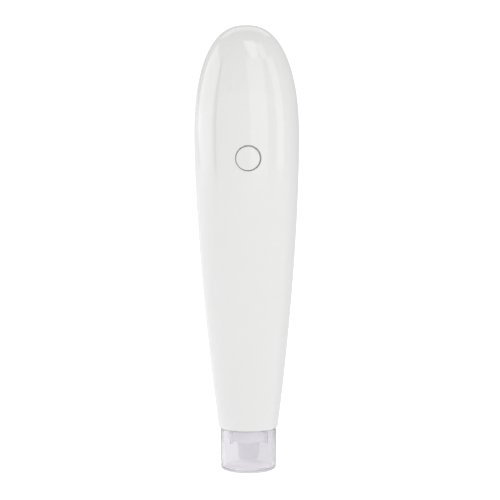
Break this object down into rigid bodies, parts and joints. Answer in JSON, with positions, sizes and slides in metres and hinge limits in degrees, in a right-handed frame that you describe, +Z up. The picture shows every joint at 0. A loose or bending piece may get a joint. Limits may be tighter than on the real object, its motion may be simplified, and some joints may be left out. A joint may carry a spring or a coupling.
{
  "type": "microneedling pen",
  "caption": "Cordless microneedling pen with an egg-shaped white body, a round power button, a needle cartridge and a clear protective cap that it stands on.",
  "frame": {"origin": "middle of the flat base of the clear cap, which the pen stands on", "axes": "+Z up the pen from the cap to the tail, -Y out of the front face with the power button, +X to the right as the front is seen"},
  "size_m": [0.0398, 0.0328, 0.1704],
  "materials": {
    "white_gloss": "injection-moulded white ABS, polished",
    "clear_plastic": "clear moulded plastic",
    "grey_plastic": "moulded grey plastic",
    "frame_plastic": "moulded glass-filled nylon",
    "slide_plastic": "natural acetal",
    "black_plastic": "black moulded resin",
    "connector_plastic": "ivory nylon",
    "light_lens": "clear resin",
    "steel": "stainless steel",
    "can_steel": "nickel-plated deep-drawn steel",
    "bronze": "sintered bronze and tinned brass",
    "copper": "lacquered copper wire on a laminated core",
    "magnet": "black coated ferrite",
    "rubber": "moulded nitrile rubber",
    "silicone": "moulded white silicone",
    "foam": "closed-cell foam",
    "circuit_board": "green solder mask on glass-epoxy laminate",
    "cell_sleeve": "shrink sleeve on a drawn can",
    "lead_red": "extruded insulation",
    "lead_black": "extruded insulation"
  },
  "bodies": {
    "cap": {"clear_cap": "clear_plastic"},
    "cartridge": {"cartridge_housing": "clear_plastic", "cartridge_rear_ring": "grey_plastic", "barrel_o_ring": "rubber", "stem_seal": "silicone", "return_spring": "steel"},
    "needles": {"needle_plate": "steel", "needle_stem": "grey_plastic"},
    "housing": {"front_shell": "white_gloss", "rear_shell": "white_gloss", "nose_ring": "white_gloss", "inner_frame": "frame_plastic", "slide_bush": "bronze", "shell_screw_low_left": "steel", "shell_screw_low_right": "steel", "shell_screw_top_left": "steel", "shell_screw_top_right": "steel", "motor_can": "can_steel", "motor_magnet": "magnet", "motor_front_bush": "bronze", "motor_rear_bush": "bronze", "motor_end_bell": "black_plastic", "motor_terminal_left": "bronze", "motor_terminal_right": "bronze", "motor_sleeve": "rubber", "motor_screw_left": "steel", "motor_screw_right": "steel", "motor_lead_red": "lead_red", "motor_lead_black": "lead_black", "battery_cell": "cell_sleeve", "battery_pad_low": "foam", "battery_pad_top": "foam", "battery_lead_red": "lead_red", "battery_lead_black": "lead_black", "control_board": "circuit_board", "tact_switch_body": "black_plastic", "status_light": "light_lens", "controller_chip": "black_plastic", "motor_driver_chip": "black_plastic", "motor_connector": "connector_plastic", "battery_connector": "connector_plastic", "link_lead_red": "lead_red", "link_lead_black": "lead_black", "board_screw_low": "steel", "board_screw_top": "steel", "charge_board": "circuit_board", "charge_chip": "black_plastic", "usb_c_shell": "steel", "usb_c_insert": "black_plastic"},
    "rotor": {"motor_rotor": "copper", "face_cam": "slide_plastic", "cam_grub_screw": "steel"},
    "drive": {"drive_rod": "steel", "drive_slider": "slide_plastic", "drive_ball": "steel"},
    "button": {"power_button": "white_gloss", "tact_plunger": "grey_plastic"}
  },
  "joints": [
    {"name": "cap_pull", "type": "slide", "parent": "cap", "child": "cartridge", "axis": [0, 0, 1], "range_m": [0, 0.025]},
    {"name": "cartridge_pull", "type": "slide", "parent": "cartridge", "child": "housing", "axis": [0, 0, 1], "range_m": [0, 0.035]},
    {"name": "needle_stroke", "type": "slide", "parent": "cartridge", "child": "needles", "axis": [0, 0, -1], "range_m": [0, 0.0015], "stiffness_N_per_m": 400, "springref_m": -0.003, "deforming": ["return_spring"]},
    {"name": "drive_stroke", "type": "slide", "parent": "housing", "child": "drive", "axis": [0, 0, -1], "range_m": [0, 0.0015]},
    {"name": "rotor_spin", "type": "hinge", "parent": "housing", "child": "rotor", "pos_m": [0, 0, 0.08], "axis": [0, 0, 1], "continuous": true},
    {"name": "button_press", "type": "slide", "parent": "housing", "child": "button", "axis": [0, 1, 0], "range_m": [0, 0.00045], "stiffness_N_per_m": 3500}
  ],
  "couplings": [
    {"joint": "needle_stroke", "follows": "drive_stroke", "ratio": 1}
  ]
}
